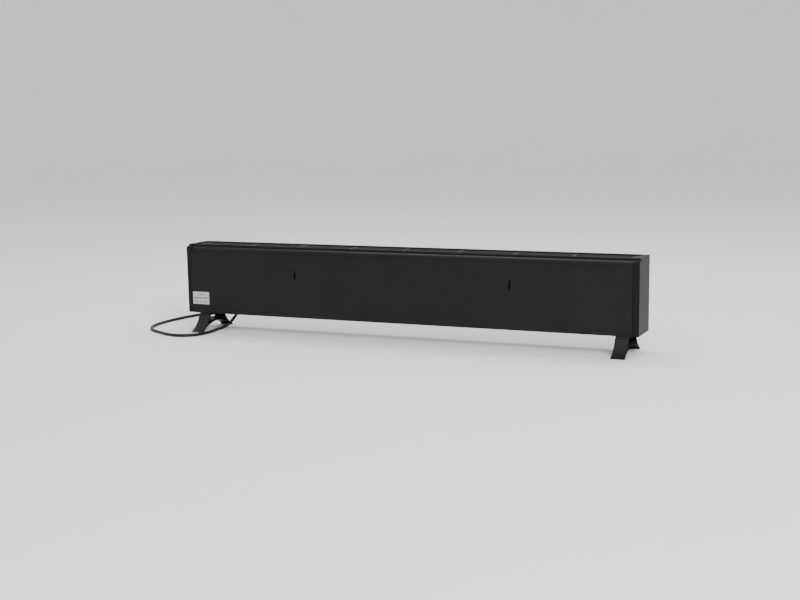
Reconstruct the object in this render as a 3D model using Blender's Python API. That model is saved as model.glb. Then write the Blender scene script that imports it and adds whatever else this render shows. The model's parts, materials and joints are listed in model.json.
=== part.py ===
"""Plug-in baseboard convector heater on two splayed feet, one object for each sub-part.

Metres, +Z up. X runs along the heater, its front faces -Y and its rear face looks towards +Y.
The origin is on the floor, under the middle of the feet. The control compartment is at the +X end.
"""

import math

import bmesh
import bpy
from mathutils import Vector

# Overall sizes
BODY_LENGTH = 1.020
BODY_HEIGHT = 0.152
BODY_DEPTH = 0.0854
FOOT_HEIGHT = 0.039
FOOT_REACH = 0.0645  # from the middle of a foot to each tip
GAP = 0.0003  # clearance between pieces that touch
SHEET = 0.0012  # sheet steel

# Planes of the body
END_X = BODY_LENGTH / 2
REAR_Y = 0.0305
FRONT_Y = REAR_Y - BODY_DEPTH
BASE_Z = FOOT_HEIGHT
TOP_Z = BASE_Z + BODY_HEIGHT

# Casing
CAP_WIDTH = 0.013
SHEET_X = END_X - CAP_WIDTH - GAP
CAP_SETBACK = 0.0008
LEDGE_DROP = 0.004  # the rear cover's top ledge lies this far below the rim
RIM_Y = REAR_Y - 0.011
REAR_BEND = 0.0138
FRONT_LIP = 0.009
FLOOR_LOW = BASE_Z + 0.0015
FLOOR_HIGH = FLOOR_LOW + SHEET
INSIDE_Z = FLOOR_HIGH + GAP

# Keyholes in the rear cover
KEYHOLES_X = (0.2383, -0.247)
KEYHOLE_Z = BASE_Z + 0.0944

# Feet
FEET = {"foot_right": 0.4687, "foot_left": -0.4770}
FOOT_WIDTH = 0.0275
FOOT_SCREW_Y = 0.014
LEG_TOP_Z = BASE_Z - 0.005
LEG_TOP_Y = REAR_Y

# Heating element
ELEMENT_Y = -0.014
ELEMENT_Z = 0.100
ELEMENT_X = (-0.427, 0.338)
BRACKETS = {"element_bracket_left": (-0.442, -1), "element_bracket_right": (0.353, 1)}
PARTITION_X = 0.372

# Controls
PANEL_X = 0.440
PANEL_Z = BASE_Z + 0.076
PANEL_SIZE = (0.090, 0.078)
TRAY_Y = FRONT_Y + 0.0045  # front of the recessed tray
TRAY_BACK = TRAY_Y + 0.002
KNOB = (0.428, BASE_Z + 0.092)
KNOB_RADIUS = 0.0185
LAMP = (0.470, BASE_Z + 0.092)
ROCKERS = {1: 0.420, 2: 0.460}
ROCKER_Z = BASE_Z + 0.054
ROCKER_PIVOT_Y = TRAY_Y - 0.0002
ROCKER_TILT = math.radians(9)

# Tip-over switch
TIP_X = 0.396
TIP_PIVOT_Z = 0.074

# Mains lead
CORD_RADIUS = 0.00325
GLAND_X, GLAND_Y = 0.416, -0.025
COIL_CENTRE = Vector((0.470, -0.2470, 0.0))
COIL_RADII = (0.0305, 0.0448)
COIL_LOW, COIL_HIGH = 0.0013, 0.0138
TAIL_Y = COIL_CENTRE.y + 0.0410
LEAD_ROUTE = [
    (0.4187, -0.0205, 0.0298),
    (0.4225, -0.0140, 0.0215),
    (0.4275, -0.0075, 0.0135),
    (0.4335, 0.0005, 0.0072),
    (0.4385, 0.0095, 0.0040),
    (0.4400, 0.0220, 0.0034),
    (0.4378, 0.0400, 0.0034),
    (0.4360, 0.0580, 0.0034),
    (0.4362, 0.0760, 0.0034),
    (0.4400, 0.0950, 0.0034),
    (0.4490, 0.1110, 0.0034),
    (0.4640, 0.1215, 0.0034),
    (0.4850, 0.1255, 0.0034),
    (0.5060, 0.1205, 0.0034),
    (0.5270, 0.1095, 0.0034),
    (0.5480, 0.0980, 0.0034),
    (0.5690, 0.0845, 0.0034),
    (0.5880, 0.0640, 0.0034),
    (0.6010, 0.0380, 0.0034),
    (0.6080, 0.0080, 0.0034),
    (0.6100, -0.0250, 0.0034),
    (0.6090, -0.0600, 0.0034),
    (0.6050, -0.0950, 0.0034),
    (0.5970, -0.1300, 0.0034),
    (0.5840, -0.1620, 0.0036),
    (0.5650, -0.1880, 0.0040),
    (0.5400, -0.2035, 0.0043),
    (0.5150, -0.2060, 0.0044),
    (0.4950, -0.2060, 0.0044),
]
TAIL_ROUTE = [
    (0.4452, TAIL_Y, 0.0104),
    (0.4360, TAIL_Y - 0.0006, 0.0086),
    (0.4270, TAIL_Y - 0.0016, 0.0062),
    (0.4180, TAIL_Y - 0.0030, 0.0051),
    (0.4090, TAIL_Y - 0.0046, 0.0050),
]
PLUG_AXIS = Vector((-0.985, -0.172, 0.0)).normalized()
PLUG_FRONT = 0.034


def clear_scene():
    for obj in list(bpy.data.objects):
        bpy.data.objects.remove(obj, do_unlink=True)


def finish(name, colour, roughness, metallic=0.0):
    """A plain Principled material."""
    mat = bpy.data.materials.new(name)
    mat.use_nodes = True
    shader = mat.node_tree.nodes["Principled BSDF"]
    shader.inputs["Base Color"].default_value = (*colour, 1.0)
    shader.inputs["Roughness"].default_value = roughness
    shader.inputs["Metallic"].default_value = metallic
    return mat


def place(name, mesh, mat, smooth=False):
    """Put a mesh in the scene under its own name."""
    mesh.materials.append(mat)
    if smooth:
        mesh.shade_smooth()
        mesh.set_sharp_from_angle(angle=math.radians(35))
    obj = bpy.data.objects.new(name, mesh)
    bpy.context.scene.collection.objects.link(obj)
    return obj


def loft(name, rings, mat, smooth=False):
    """A closed solid through rings of equal point counts, with a flat face on each end."""
    bm = bmesh.new()
    loops = [[bm.verts.new(point) for point in ring] for ring in rings]
    count = len(loops[0])
    for low, high in zip(loops, loops[1:]):
        for i in range(count):
            bm.faces.new((low[i], low[(i + 1) % count], high[(i + 1) % count], high[i]))
    bm.faces.new(loops[0])
    bm.faces.new(loops[-1])
    bmesh.ops.recalc_face_normals(bm, faces=bm.faces)
    mesh = bpy.data.meshes.new(name)
    bm.to_mesh(mesh)
    bm.free()
    return place(name, mesh, mat, smooth)


def lift(axis, point, along):
    """A point of a flat outline, placed at a distance along the axis across it."""
    a, b = point
    return {"X": (along, a, b), "Y": (a, along, b), "Z": (a, b, along)}[axis]


def prism(name, outline, axis, span, mat, smooth=False):
    """An outline carried straight along X, Y or Z."""
    return loft(name, [[lift(axis, p, s) for p in outline] for s in span], mat, smooth)


def box(name, low, high, mat):
    outline = [(low[0], low[1]), (high[0], low[1]), (high[0], high[1]), (low[0], high[1])]
    return prism(name, outline, "Z", (low[2], high[2]), mat)


def boxes(name, spans, mat):
    """Many separate blocks in one mesh, for cutting."""
    bm = bmesh.new()
    for low, high in spans:
        made = bmesh.ops.create_cube(bm, size=1.0)["verts"]
        centre = (Vector(low) + Vector(high)) / 2
        size = Vector(high) - Vector(low)
        for vert in made:
            vert.co = Vector(c * s for c, s in zip(vert.co, size)) + centre
    mesh = bpy.data.meshes.new(name)
    bm.to_mesh(mesh)
    bm.free()
    return place(name, mesh, mat)


def arc(centre, radius, start, end, steps):
    """Points on a circle between two angles in degrees, both ends included."""
    angles = [math.radians(start + (end - start) * i / steps) for i in range(steps + 1)]
    return [(centre[0] + radius * math.cos(a), centre[1] + radius * math.sin(a)) for a in angles]


def circle(centre, radius, steps):
    return arc(centre, radius, 0, 360, steps)[:-1]


def offset(path, distance):
    """An open path moved sideways to its left, its corners mitred."""
    points = [Vector(p) for p in path]
    moved = []
    for i, point in enumerate(points):
        before = (point - points[i - 1]).normalized() if i else None
        after = (points[i + 1] - point).normalized() if i < len(points) - 1 else None
        sides = [Vector((-d.y, d.x)) for d in (before, after) if d is not None]
        side = sum(sides, Vector((0.0, 0.0))).normalized()
        moved.append(tuple(point + side * distance / side.dot(sides[0])))
    return moved


def folded(name, path, side, span, mat):
    """A folded sheet: its outer line and the same line moved in by the sheet's thickness."""
    return prism(name, path + offset(path, side * SHEET)[::-1], "X", span, mat)


def turned(name, profile, origin, direction, mat, steps=20):
    """Circles of (distance along the axis, radius), joined into one round solid."""
    axis = Vector(direction).normalized()
    side = axis.orthogonal().normalized()
    up = axis.cross(side)
    rings = []
    for along, radius in profile:
        centre = Vector(origin) + axis * along
        angles = [2 * math.pi * i / steps for i in range(steps)]
        rings.append([centre + (side * math.cos(a) + up * math.sin(a)) * radius for a in angles])
    return loft(name, rings, mat, smooth=True)


def combine(obj, other, operation):
    """Cut or add another shape, which is then only a guide."""
    other.hide_render = True
    other.display_type = "WIRE"
    modifier = obj.modifiers.new(other.name, "BOOLEAN")
    modifier.operation = operation
    modifier.solver = "EXACT"
    modifier.object = other


def cut(obj, *cutters):
    for cutter in cutters:
        combine(obj, cutter, "DIFFERENCE")


def add(obj, *others):
    for other in others:
        combine(obj, other, "UNION")


def smooth_line(route, spacing):
    """A Catmull-Rom curve through the route's points, read at even distances."""
    points = [Vector(p) for p in route]
    ends = [2 * points[0] - points[1], *points, 2 * points[-1] - points[-2]]
    fine = []
    for a, b, c, d in zip(ends, ends[1:], ends[2:], ends[3:]):
        for t in (i / 16 for i in range(16)):
            fine.append(
                0.5
                * (
                    2 * b
                    + (c - a) * t
                    + (2 * a - 5 * b + 4 * c - d) * t * t
                    + (3 * b - a - 3 * c + d) * t**3
                )
            )
    fine.append(points[-1])
    lengths = [0.0]
    for p, q in zip(fine, fine[1:]):
        lengths.append(lengths[-1] + (q - p).length)
    count = max(2, round(lengths[-1] / spacing))
    line, i = [], 0
    for k in range(count + 1):
        wanted = lengths[-1] * k / count
        while i < len(fine) - 2 and lengths[i + 1] < wanted:
            i += 1
        share = (wanted - lengths[i]) / (lengths[i + 1] - lengths[i])
        line.append(fine[i].lerp(fine[i + 1], share))
    return line


def tube(name, route, radius, spacing, mat):
    """A round cord or wire along a smooth line through the route."""
    curve = bpy.data.curves.new(name, "CURVE")
    curve.dimensions = "3D"
    curve.bevel_depth = radius
    curve.bevel_resolution = 2
    curve.use_fill_caps = True
    line = smooth_line(route, spacing)
    spline = curve.splines.new("POLY")
    spline.points.add(len(line) - 1)
    for point, place_at in zip(spline.points, line):
        point.co = (*place_at, 1.0)
    curve.materials.append(mat)
    obj = bpy.data.objects.new(name, curve)
    bpy.context.scene.collection.objects.link(obj)
    return obj


# Casing


def rear_cover(mat):
    """Folded sheet: bottom flange, flat back, rounded top and the ledge under the grille's rim."""
    ledge_z = TOP_Z - LEDGE_DROP
    path = [(REAR_Y - 0.010, BASE_Z)]
    path += arc((REAR_Y - 0.002, BASE_Z + 0.002), 0.002, -90, 0, 3)
    path += arc((REAR_Y - REAR_BEND, ledge_z - REAR_BEND), REAR_BEND, 0, 90, 10)
    path += [(REAR_Y - 0.0150, ledge_z)]
    obj = folded("rear_cover", path, 1, (-SHEET_X, SHEET_X), mat)
    for number, x in enumerate(KEYHOLES_X):
        outline = keyhole(x, KEYHOLE_Z)
        cut(obj, prism(f"keyhole_{number}", outline, "Y", (REAR_Y - 0.004, REAR_Y + 0.004), mat))
    return obj


def keyhole(x, z):
    """An oval head with a narrow slot that runs up and down from it."""
    half, head, up, down = 0.0014, (0.0028, 0.0036), 0.0081, 0.0131
    right = [(half, -down + half)]
    right += [
        (head[0] * math.cos(math.radians(a)), head[1] * math.sin(math.radians(a)))
        for a in range(-60, 61, 20)
    ]
    right += arc((0.0, up - half), half, 0, 180, 4)
    left = [(-px, pz) for px, pz in right[1:8][::-1]]
    bottom = arc((0.0, -down + half), half, 180, 360, 4)[:-1]
    return [(x + px, z + pz) for px, pz in right + left + bottom]


def front_panel(mat):
    """Folded sheet: bottom flange, flat front, top lip and the step that carries the grille."""
    step_z = TOP_Z - 0.0040
    path = [(FRONT_Y + 0.010, BASE_Z)]
    path += arc((FRONT_Y + 0.004, BASE_Z + 0.004), 0.004, 270, 180, 4)
    path += arc((FRONT_Y + 0.003, TOP_Z - 0.003), 0.003, 180, 90, 4)
    path += [(FRONT_Y + FRONT_LIP, TOP_Z), (FRONT_Y + FRONT_LIP, step_z), (FRONT_Y + 0.016, step_z)]
    obj = folded("front_panel", path, -1, (-SHEET_X, SHEET_X), mat)
    half_x, half_z = PANEL_SIZE[0] / 2, PANEL_SIZE[1] / 2
    low = (PANEL_X - half_x, FRONT_Y - 0.004, PANEL_Z - half_z)
    high = (PANEL_X + half_x, FRONT_Y + 0.004, PANEL_Z + half_z)
    cut(obj, box("panel_opening", low, high, mat))
    return obj


def base_plate(mat):
    """Flat floor of the casing, with rows of intake slots and the holes for screws and the gland."""
    low = (-END_X + 0.003, FRONT_Y + 0.0055, FLOOR_LOW)
    high = (END_X - 0.003, REAR_Y - 0.0045, FLOOR_HIGH)
    obj = box("base_plate", low, high, mat)
    slots = []
    for y in (-0.032, -0.008):
        for i in range(13):
            x = -0.435 + 0.062 * i
            slots.append(((x - 0.024, y - 0.003, BASE_Z - 0.001), (x + 0.024, y + 0.003, BASE_Z + 0.006)))
    cut(obj, boxes("intake_slots", slots, mat))
    drill_down(obj, "plate_gland_hole", (GLAND_X, GLAND_Y), 0.0058, mat)
    for number, (x, y) in enumerate(foot_screws()):
        drill_down(obj, f"plate_foot_hole_{number}", (x, y), 0.0023, mat)
    for number, (x, y) in enumerate(cap_screws()):
        drill_down(obj, f"plate_cap_hole_{number}", (x, y), 0.0018, mat)
    for number, (x, y) in enumerate(bracket_screws()):
        drill_down(obj, f"plate_bracket_hole_{number}", (x, y), 0.0018, mat)
    return obj


def drill_down(obj, name, at, radius, mat):
    """A round hole through the bottom of the casing."""
    cut(obj, prism(name, circle(at, radius, 12), "Z", (BASE_Z - 0.003, BASE_Z + 0.008), mat))


def top_grille(mat):
    """Raised rim along the rear and a slotted plate between it and the front panel's lip."""
    plate_low, plate_high = TOP_Z - LEDGE_DROP + GAP, TOP_Z - 0.0020
    front = FRONT_Y + FRONT_LIP + GAP
    outline = [
        (front, plate_low),
        (RIM_Y, plate_low),
        (RIM_Y, TOP_Z),
        (RIM_Y - 0.003, TOP_Z),
        (RIM_Y - 0.003, plate_high),
        (front + 0.003, plate_high),
        (front + 0.003, TOP_Z),
        (front, TOP_Z),
    ]
    obj = prism("top_grille", outline, "X", (-SHEET_X, SHEET_X), mat)
    slots = []
    first, pitch = front + 0.0105, 0.0092
    for row in range(5):
        y = first + pitch * row
        for i in range(8):
            x = -SHEET_X + 0.010 + 0.1220 * i
            slots.append(((x, y, TOP_Z - 0.008), (x + 0.1170, y + 0.0062, TOP_Z + 0.004)))
    cut(obj, boxes("grille_slots", slots, mat))
    return obj


def cap_outline(inset):
    """The casing's end profile in Y and Z, moved inwards by a distance."""
    rear, front = REAR_Y - CAP_SETBACK - inset, FRONT_Y + CAP_SETBACK + inset
    low, high, ledge = BASE_Z + inset, TOP_Z - inset, TOP_Z - LEDGE_DROP - inset
    points = arc((rear - 0.002, low + 0.002), 0.002, -90, 0, 3)
    points += arc((rear - 0.005, ledge - 0.005), 0.005, 0, 90, 5)
    points += [(RIM_Y - inset, ledge), (RIM_Y - inset, high)]
    points += arc((front + 0.003, high - 0.003), 0.003, 90, 180, 4)
    points += arc((front + 0.003, low + 0.003), 0.003, 180, 270, 4)
    return points


def end_cap(name, side, mat):
    """A shallow tray that closes the casing's end, its outer edge rounded."""
    inner, outer = side * (END_X - CAP_WIDTH), side * END_X
    steps = [(inner, 0.0), (outer - side * 0.0012, 0.0), (outer - side * 0.0004, 0.0004), (outer, 0.0012)]
    obj = loft(name, [[(x, y, z) for y, z in cap_outline(inset)] for x, inset in steps], mat)
    span = (inner - side * 0.002, outer - side * 0.0020)
    cut(obj, prism(f"{name}_hollow", cap_outline(SHEET), "X", span, mat))
    for number, (x, y) in enumerate(cap_screws()):
        if x * side > 0:
            drill_down(obj, f"{name}_hole_{number}", (x, y), 0.0018, mat)
    return obj


def heat_shield(mat):
    """Flat sheet that keeps the element's heat off the rear cover."""
    low = (-0.488, REAR_Y - 0.0130, INSIDE_Z)
    return box("heat_shield", low, (PARTITION_X - 0.002, REAR_Y - 0.0122, TOP_Z - 0.016), mat)


def partition(mat):
    """Wall between the hot part and the control compartment, with a hole for the leads."""
    low, high = (FRONT_Y + 0.0020, INSIDE_Z), (REAR_Y - 0.0020, TOP_Z - 0.016)
    outline = [low, (high[0], low[1]), high, (low[0], high[1])]
    obj = prism("partition", outline, "X", (PARTITION_X, PARTITION_X + SHEET), mat)
    span = (PARTITION_X - 0.003, PARTITION_X + 0.004)
    cut(obj, prism("partition_hole", circle((-0.030, 0.060), 0.009, 16), "X", span, mat))
    return obj


# Fasteners


def foot_screws():
    return [(x, side * FOOT_SCREW_Y) for x in FEET.values() for side in (1, -1)]


def cap_screws():
    return [(side * (END_X - 0.0065), y) for side in (1, -1) for y in (0.010, -0.036)]


def bracket_screws():
    return [(x + side * 0.008, ELEMENT_Y) for x, side in BRACKETS.values()]


def screw(name, at, under_head, head, shank, length, mat):
    """A round-headed screw, pointing up, its cross recess cut into the head."""
    radius, height = head
    profile = [
        (-height, radius * 0.55),
        (-height * 0.6, radius * 0.92),
        (0.0, radius),
        (0.0, shank),
        (length - shank * 1.5, shank),
        (length, shank * 0.35),
    ]
    obj = turned(name, profile, (*at, under_head), (0, 0, 1), mat, steps=16)
    half, deep = radius * 0.5, under_head - height * 0.45
    for number, (a, b) in enumerate(((half, radius * 0.12), (radius * 0.12, half))):
        low = (at[0] - a, at[1] - b, under_head - height - 0.002)
        cut(obj, box(f"{name}_recess_{number}", low, (at[0] + a, at[1] + b, deep), mat))
    return obj


# Feet


def foot(name, x, mat):
    """Two concave legs and a bridge with an arched underside, under a mounting plate."""
    start, end = math.radians(22), math.radians(69.8)
    tip = (FOOT_REACH - 0.001, 0.002)
    radius = (tip[0] - LEG_TOP_Y) / (math.cos(start) - math.cos(end))
    outer = []
    for i in range(9):
        a = start + (end - start) * i / 8
        drop = (math.sin(a) - math.sin(start)) / (math.sin(end) - math.sin(start))
        out = radius * (math.cos(start) - math.cos(a))
        outer.append((LEG_TOP_Y + out, LEG_TOP_Z - (LEG_TOP_Z - tip[1]) * drop))
    outer += [(FOOT_REACH, 0.0010), (FOOT_REACH - 0.0008, 0.0)]
    half = [(0.019, BASE_Z + 0.0012), (0.019, BASE_Z - GAP), (0.0275, BASE_Z - GAP), (0.0275, LEG_TOP_Z)]
    half += outer
    arch_half, arch_height, power = 0.057, 0.0195, 1.6
    arch = []
    for i in range(9):
        y = arch_half * math.cos(math.pi / 2 * i / 8)
        arch.append((y, arch_height * (1 - (y / arch_half) ** power) ** (1 / power)))
    right = half + arch
    left = [(-y, z) for y, z in right[:-1]][::-1]
    obj = prism(name, right + left, "X", (x - FOOT_WIDTH / 2, x + FOOT_WIDTH / 2), mat)
    side = [(0.0265, LEG_TOP_Z), (0.0286, 0.0285), (0.0315, 0.0232)]
    window = side + [(-y, z) for y, z in side[::-1]]
    span = (x - FOOT_WIDTH, x + FOOT_WIDTH)
    cut(obj, prism(f"{name}_window", window, "X", span, mat))
    for number, y in enumerate((FOOT_SCREW_Y, -FOOT_SCREW_Y)):
        shank, head = circle((x, y), 0.0023, 12), circle((x, y), 0.0052, 16)
        screw_hole = prism(f"{name}_screw_hole_{number}", shank, "Z", (0.030, 0.045), mat)
        driver_hole = prism(f"{name}_driver_hole_{number}", head, "Z", (0.010, 0.0300), mat)
        cut(obj, screw_hole, driver_hole)
    return obj


# Heating element


def heating_element(mat):
    """Aluminium extrusion: a round core with twelve straight fins in a square outline."""
    core, half_fin, reach = 0.0085, 0.0011, 0.024
    outline = []
    for i in range(12):
        a = 2 * math.pi * i / 12
        along, across = Vector((math.cos(a), math.sin(a))), Vector((-math.sin(a), math.cos(a)))
        length = reach / max(abs(along.x), abs(along.y))
        for r, s in ((core, -half_fin), (length, -half_fin), (length, half_fin), (core, half_fin)):
            outline.append(tuple(Vector((ELEMENT_Y, ELEMENT_Z)) + along * r + across * s))
    return prism("heating_element", outline, "X", ELEMENT_X, mat)


def element_end(name, x, side, mat):
    """Ceramic bush: a flange against the extrusion and a spigot through the bracket."""
    profile = [(GAP, 0.012), (0.006, 0.012), (0.006, 0.0080), (0.024, 0.0080)]
    return turned(name, profile, (x, ELEMENT_Y, ELEMENT_Z), (side, 0, 0), mat)


def element_bracket(name, x, side, mat):
    """Upright sheet with a hole for the bush, its foot turned outwards along the floor."""
    low, high = INSIDE_Z, ELEMENT_Z + 0.030
    path = [(x + side * 0.016, low), (x, low), (x, high)]
    outline = path + offset(path, -side * 0.0015)[::-1]
    y_span = (ELEMENT_Y - 0.023, ELEMENT_Y + 0.023)
    obj = prism(name, outline, "Y", y_span, mat)
    span = (x - 0.005, x + 0.005)
    cut(obj, prism(f"{name}_bore", circle((ELEMENT_Y, ELEMENT_Z), 0.0083, 20), "X", span, mat))
    centre = (x + side * 0.008, ELEMENT_Y)
    cut(obj, prism(f"{name}_hole", circle(centre, 0.0018, 12), "Z", (low - 0.002, low + 0.004), mat))
    return obj


def thermal_cutout(mat):
    """Bimetal disc on the partition's hot side."""
    profile = [(GAP, 0.0080), (0.004, 0.0080), (0.004, 0.0070), (0.009, 0.0062)]
    return turned("thermal_cutout", profile, (PARTITION_X, -0.030, 0.130), (-1, 0, 0), mat)


# Controls


def control_bezel(mat):
    """Frame over the front panel's opening with a recessed tray that carries the controls."""
    half_x, half_z = PANEL_SIZE[0] / 2, PANEL_SIZE[1] / 2
    wide = 0.004
    frame_front, frame_back = FRONT_Y - 0.0018, FRONT_Y - GAP
    low = (PANEL_X - half_x - wide, frame_front, PANEL_Z - half_z - wide)
    obj = box("control_bezel", low, (PANEL_X + half_x + wide, frame_back, PANEL_Z + half_z + wide), mat)
    inset = 0.0004
    low = (PANEL_X - half_x + inset, frame_front + 0.0005, PANEL_Z - half_z + inset)
    add(obj, box("bezel_tray", low, (PANEL_X + half_x - inset, TRAY_BACK, PANEL_Z + half_z - inset), mat))
    wall = 0.0022
    low = (PANEL_X - half_x + wall, frame_front - 0.002, PANEL_Z - half_z + wall)
    cut(obj, box("bezel_recess", low, (PANEL_X + half_x - wall, TRAY_Y, PANEL_Z + half_z - wall), mat))
    span = (TRAY_Y - 0.002, TRAY_BACK + 0.002)
    cut(obj, prism("bezel_shaft_hole", circle(KNOB, 0.0036, 16), "Y", span, mat))
    cut(obj, prism("bezel_lamp_hole", circle(LAMP, 0.0045, 16), "Y", span, mat))
    for number, x in ROCKERS.items():
        low = (x - 0.0095, span[0], ROCKER_Z - 0.0135)
        cut(obj, box(f"bezel_rocker_hole_{number}", low, (x + 0.0095, span[1], ROCKER_Z + 0.0135), mat))
    return obj


def knob(mat):
    """Round knob with a pointer bar and a blind bore for the shaft, its origin on its axis."""
    back, front = TRAY_Y - GAP, FRONT_Y - 0.0085
    deep = back - front
    profile = [
        (0.0, KNOB_RADIUS),
        (0.0030, KNOB_RADIUS),
        (0.0036, KNOB_RADIUS - 0.0022),
        (deep - 0.0022, KNOB_RADIUS - 0.0030),
        (deep - 0.0014, KNOB_RADIUS - 0.0038),
    ]
    obj = turned("thermostat_knob", profile, (KNOB[0], back, KNOB[1]), (0, -1, 0), mat, steps=36)
    angle = math.radians(225)
    along, across = Vector((math.cos(angle), math.sin(angle))), Vector((-math.sin(angle), math.cos(angle)))
    corners = [(-0.012, -0.0022), (0.0135, -0.0022), (0.0145, 0.0), (0.0135, 0.0022), (-0.012, 0.0022)]
    outline = [tuple(Vector(KNOB) + along * a + across * b) for a, b in corners]
    add(obj, prism("knob_pointer", outline, "Y", (front, back - 0.004), mat))
    cut(obj, prism("knob_bore", circle(KNOB, 0.0033, 16), "Y", (back - 0.009, back + 0.002), mat))
    return obj


def thermostat(plastic, steel):
    """Switch body behind the tray, and the shaft that turns with the knob."""
    x, z = KNOB
    back = TRAY_BACK + 0.021
    low = (x - 0.016, TRAY_BACK + GAP, z - 0.016)
    body = box("thermostat_body", low, (x + 0.016, back, z + 0.016), plastic)
    span = (TRAY_BACK - 0.001, TRAY_BACK + 0.010)
    cut(body, prism("thermostat_bore", circle(KNOB, 0.0033, 16), "Y", span, plastic))
    shaft_front, shaft_back = TRAY_Y - 0.0088, TRAY_BACK + 0.0094
    return body, turned(
        "thermostat_shaft",
        [(0.0, 0.0026), (0.0006, 0.0030), (shaft_back - shaft_front, 0.0030)],
        (x, shaft_front, z),
        (0, 1, 0),
        steel,
        steps=16,
    )


def rocker_switch(number, x, plastic, rocker_mat):
    """Switch housing with a rocker that tips about a pin along X."""
    outer, inner, depth = (0.0092, 0.0132), (0.0074, 0.0114), 0.0140
    name = f"switch_housing_{number}"
    low = (x - outer[0], TRAY_Y - 0.0004, ROCKER_Z - outer[1])
    housing = box(name, low, (x + outer[0], TRAY_Y + depth, ROCKER_Z + outer[1]), plastic)
    flange = box(
        f"{name}_flange",
        (x - 0.0108, TRAY_Y - 0.0020, ROCKER_Z - 0.0148),
        (x + 0.0108, TRAY_Y - GAP, ROCKER_Z + 0.0148),
        plastic,
    )
    add(housing, flange)
    low = (x - inner[0], TRAY_Y - 0.004, ROCKER_Z - inner[1])
    cut(housing, box(f"{name}_well", low, (x + inner[0], TRAY_Y + 0.0075, ROCKER_Z + inner[1]), plastic))
    half, pivot = inner[1] - 0.0007, ROCKER_PIVOT_Y
    shape = [(-0.0042, half * 0.95), (0.0022, half * 0.97), (0.0050, 0.003), (0.0050, -0.003)]
    shape += [(0.0022, -half * 0.97), (-0.0042, -half * 0.95), (-0.0030, 0.0)]
    cos, sin = math.cos(ROCKER_TILT), math.sin(ROCKER_TILT)
    outline = [(pivot + y * cos - z * sin, ROCKER_Z + y * sin + z * cos) for y, z in shape]
    width = inner[0] - 0.0005
    rocker = prism(f"rocker_{number}", outline, "X", (x - width, x + width), rocker_mat)
    return housing, rocker


def pilot_lamp(mat):
    """Domed lens that plugs into the tray."""
    profile = [(0.0, 0.0040), (0.0080, 0.0040), (0.0080, 0.0055)]
    profile += [(0.0095, 0.0055), (0.0108, 0.0040), (0.0114, 0.0016)]
    origin = (LAMP[0], TRAY_Y - GAP + 0.0080, LAMP[1])
    return turned("pilot_lamp", profile, origin, (0, -1, 0), mat)


def tip_over_switch(plastic, steel):
    """Yoke on the floor of the compartment, its pin, and the weighted lever that hangs on it."""
    cheek_in, cheek_out, half_y = 0.0063, 0.0085, 0.010
    low, high = INSIDE_Z, TIP_PIVOT_Z + 0.007
    outline = [
        (TIP_X - cheek_out, low),
        (TIP_X + cheek_out, low),
        (TIP_X + cheek_out, high),
        (TIP_X + cheek_in, high),
        (TIP_X + cheek_in, low + 0.004),
        (TIP_X - cheek_in, low + 0.004),
        (TIP_X - cheek_in, high),
        (TIP_X - cheek_out, high),
    ]
    yoke = prism("tip_switch_yoke", outline, "Y", (-half_y, half_y), plastic)
    span = (TIP_X - 0.012, TIP_X + 0.012)
    cut(yoke, prism("yoke_bore", circle((0.0, TIP_PIVOT_Z), 0.0018, 12), "X", span, plastic))
    origin = (TIP_X - 0.0105, 0.0, TIP_PIVOT_Z)
    pin = turned("tip_switch_pin", [(0.0, 0.0015), (0.0210, 0.0015)], origin, (1, 0, 0), steel, steps=12)
    lever_outline = arc((0.0, TIP_PIVOT_Z), 0.0045, -40, 220, 10)
    lever_outline += [(-0.0018, 0.062), (-0.0055, 0.061), (-0.0055, 0.052), (0.0055, 0.052)]
    lever_outline += [(0.0055, 0.061), (0.0018, 0.062)]
    reach = cheek_in - GAP
    lever = prism("tip_switch_lever", lever_outline, "X", (TIP_X - reach, TIP_X + reach), steel)
    cut(lever, prism("lever_bore", circle((0.0, TIP_PIVOT_Z), 0.0018, 12), "X", span, steel))
    return yoke, pin, lever


def terminal_block(mat):
    """Block with three screw wells on the floor of the compartment."""
    low, high = (0.434, 0.004, INSIDE_Z), (0.464, 0.020, INSIDE_Z + 0.014)
    obj = box("terminal_block", low, high, mat)
    for number in range(3):
        centre = (0.439 + 0.010 * number, 0.012)
        span = (high[2] - 0.006, high[2] + 0.002)
        cut(obj, prism(f"block_well_{number}", circle(centre, 0.0028, 10), "Z", span, mat))
    return obj


# Leads


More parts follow.
